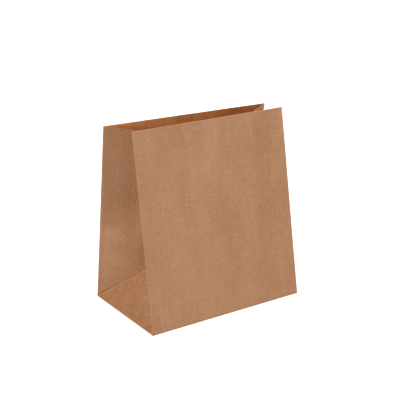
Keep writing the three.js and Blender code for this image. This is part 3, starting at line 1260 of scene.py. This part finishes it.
    def _paint_foot_light(self, nodes: Nodes, colour: Socket) -> Socket:
        """Paints bounce light on the gussets' feet as a warmer tint, a shadow line over their
        diagonal folds and a highlight along them.

        Args:
            nodes: The material's tree.
            colour: The colour so far.

        Returns:
            The tinted colour.
        """
        foot = nodes.attribute("foot_depth")
        inside = nodes.remap(foot, self.foot_edge)
        colour = nodes.mix(inside, colour, (*self.foot_bounce_tint, 1.0), "MULTIPLY")
        rise = nodes.remap(foot, self.shadow_rise)
        fall = nodes.remap(foot, self.shadow_fall, 1.0, 0.0)
        colour = nodes.mix(nodes.math("MULTIPLY", rise, fall), colour, self.shade(self.foot_shadow))
        off = nodes.math("ABSOLUTE", nodes.math("SUBTRACT", foot, self.foot_highlight_middle))
        foot_highlight = nodes.remap(off, self.foot_highlight_reach, 1.0, 0.0)
        return nodes.mix(foot_highlight, colour, self.shade(self.foot_highlight_tint))

    def _paint_fold_highlights(self, nodes: Nodes, colour: Socket) -> Socket:
        """Paints a highlight, with some rub wear, along the folds and the mouth's cut edges, but
        not the feet's diagonals.

        Args:
            nodes: The material's tree.
            colour: The colour so far.

        Returns:
            The worn colour.
        """
        off = nodes.math("SUBTRACT", nodes.attribute("foot_depth"), 0.5)
        spared = nodes.remap(nodes.math("ABSOLUTE", off), self.highlight_off_foot)
        fold = nodes.attribute("fold_distance")
        highlight_measure = nodes.remap(fold, self.fold_highlight_reach, self.fold_highlight_and_wear, 0.0)
        return nodes.mix(nodes.math("MULTIPLY", highlight_measure, spared), colour, self.shade(self.highlight_and_wear))


@dataclass(frozen=True)
class Lamp:
    """One soft square lamp, by where it hangs round the bag, in degrees, and its power."""

    name: str
    azimuth: float
    elevation: float
    power: float

    def place(self, middle: Vector, distance: float) -> Vector:
        """Where the lamp hangs.

        Args:
            middle: The point that it faces.
            distance: How far it is from there, in metres.

        Returns:
            Its place, with azimuth 0 in front of the bag and 90 on its right.
        """
        turn, rise = math.radians(self.azimuth), math.radians(self.elevation)
        level = distance * math.cos(rise)
        way = (level * math.sin(turn), -level * math.cos(turn), distance * math.sin(rise))
        return middle + Vector(way)


@dataclass(frozen=True)
class Studio:
    """The floor, the light and the camera."""

    floor_size: float = 16.0
    floor_colour: tuple[float, float, float, float] = (0.9, 0.9, 0.9, 1.0)
    floor_drop: float = 0.0003
    floor_glow: float = 0.5
    far_glow: float = 0.85
    glow_reach: Reach = (0.5, 2.5)
    world_light: float = 0.11
    camera_place: tuple[float, float, float] = (-0.9051, -1.3345, 0.7575)
    camera_yaw: float = 34.24
    camera_pitch: float = 20.53
    camera_roll: float = 0.36
    sensor: float = 36.0
    focal: float = 104.8
    lamp_distance: float = 3.6
    lamp_size: float = 1.8
    lamps: tuple[Lamp, ...] = (
        Lamp("low_left_light", -80.0, 8.0, 27.0),
        Lamp("high_left_light", -80.0, 50.0, 61.0),
        Lamp("high_front_light", 20.0, 50.0, 28.0),
        Lamp("low_right_light", 60.0, 8.0, 23.0),
        Lamp("right_light", 60.0, 28.0, 14.0),
        Lamp("high_right_light", 60.0, 50.0, 36.0),
        Lamp("back_light", 170.0, 45.0, 54.0),
    )

    def build(self) -> None:
        """Sets the whole stage."""
        self._floor()
        self._world()
        middle = (CAD_BOX[0] + CAD_BOX[1]) / 2
        for lamp in self.lamps:
            self._hang(lamp, middle)
        self._camera()
        bpy.context.scene.view_settings.view_transform = "Standard"

    def _floor(self) -> None:
        """Lays a pale floor that stays white to the camera and keeps the shadow."""
        deselect_all()
        under = (0.0, 0.0, -self.floor_drop)
        bpy.ops.mesh.primitive_plane_add(size=self.floor_size, location=under)
        floor = bpy.context.active_object
        floor.name = "studio_floor"
        material = bpy.data.materials.new("studio_floor")
        material.use_nodes = True
        nodes = Nodes(material.node_tree)
        seen = nodes.add("ShaderNodeLightPath").outputs["Is Camera Ray"]
        place = {0: nodes.add("ShaderNodeTexCoord").outputs["Object"]}
        away = nodes.add("ShaderNodeVectorMath", place, operation="LENGTH").outputs["Value"]
        level = nodes.remap(away, self.glow_reach, self.floor_glow, self.far_glow)
        finish = {
            "Base Color": self.floor_colour,
            "Roughness": 1.0,
            "Specular IOR Level": 0.0,
            "Emission Color": WHITE,
            "Emission Strength": nodes.math("MULTIPLY", seen, level),
        }
        nodes.fill(material.node_tree.nodes["Principled BSDF"], finish)
        floor.data.materials.append(material)

    def _world(self) -> None:
        """Lights the world softly and shows it white."""
        world = bpy.data.worlds.new("studio_world")
        world.use_nodes = True
        bpy.context.scene.world = world
        nodes = Nodes(world.node_tree)
        light = world.node_tree.nodes["Background"]
        nodes.fill(light, {"Strength": self.world_light, "Color": WHITE})
        white = nodes.add("ShaderNodeBackground", {"Color": WHITE})
        seen = nodes.add("ShaderNodeLightPath").outputs["Is Camera Ray"]
        shaders = {0: seen, 1: light.outputs[0], 2: white.outputs[0]}
        mixed = nodes.add("ShaderNodeMixShader", shaders).outputs[0]
        nodes.fill(world.node_tree.nodes["World Output"], {"Surface": mixed})

    def _hang(self, lamp: Lamp, middle: Vector) -> None:
        """Hangs one lamp so that it faces the bag.

        Args:
            lamp: The lamp.
            middle: The middle of the bag.
        """
        data = bpy.data.lights.new(lamp.name, "AREA")
        data.size = self.lamp_size
        data.energy = lamp.power
        hung = bpy.data.objects.new(lamp.name, data)
        hung.location = lamp.place(middle, self.lamp_distance)
        hung.rotation_euler = (middle - hung.location).to_track_quat("-Z", "Y").to_euler()
        bpy.context.scene.collection.objects.link(hung)

    def _camera(self) -> None:
        """Places the camera where the photograph was taken from."""
        angles = (self.camera_yaw, self.camera_pitch, self.camera_roll)
        yaw, pitch, roll = (math.radians(angle) for angle in angles)
        forward = math.cos(pitch)
        ahead = Vector((math.sin(yaw) * forward, math.cos(yaw) * forward, -math.sin(pitch)))
        level = Vector((math.cos(yaw), -math.sin(yaw), 0.0))
        upright = level.cross(ahead)
        right = level * math.cos(roll) + upright * math.sin(roll)
        up = upright * math.cos(roll) - level * math.sin(roll)
        data = bpy.data.cameras.new("photo_camera")
        data.sensor_width = self.sensor
        data.lens = self.focal
        camera = bpy.data.objects.new("photo_camera", data)
        turn = Matrix((right, up, -ahead)).transposed()
        camera.matrix_world = Matrix.Translation(self.camera_place) @ turn.to_4x4()
        bpy.context.scene.collection.objects.link(camera)
        bpy.context.scene.camera = camera


def declare(piece: bpy.types.Object) -> None:
    """Hangs a piece on the body that it rides on, hides the CAD part that it stands for and logs
    its faces.

    Args:
        piece: The finished piece.
    """
    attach(piece, BODY)
    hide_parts(NODE)
    LOG.info("%s: %d faces", piece.name, len(piece.data.polygons))


def main() -> None:
    """Builds the bag and its stage."""
    logging.basicConfig(level=logging.INFO, format="%(name)s: %(message)s")
    Studio().build()
    bag = PaperBag(BagSizes())
    finishes = (
        KraftPaper(
            "kraft_outside",
            (0.44, 0.228, 0.12),
            # Painted highlight, with some rub wear, along the folds and the mouth's cut edges.
            fold_highlight_and_wear=0.85,
            glue_stain=0.3,
            painted_shade_tone="outside_shade_tone",
        ),
        KraftPaper("kraft_cut_edge", (0.5, 0.29, 0.17)),
        KraftPaper(
            "kraft_inside_bounce_lit",
            # Paler and a deeper orange than the outside: painted bounce light inside the bag.
            (0.66, 0.275, 0.09),
            glue_stain=0.3,
            grain=1.6,
            painted_shade_tone="inside_shade_tone",
        ),
    )
    declare(bag.build([finish.make(bag.blank) for finish in finishes]))


if __name__ == "__main__":
    main()
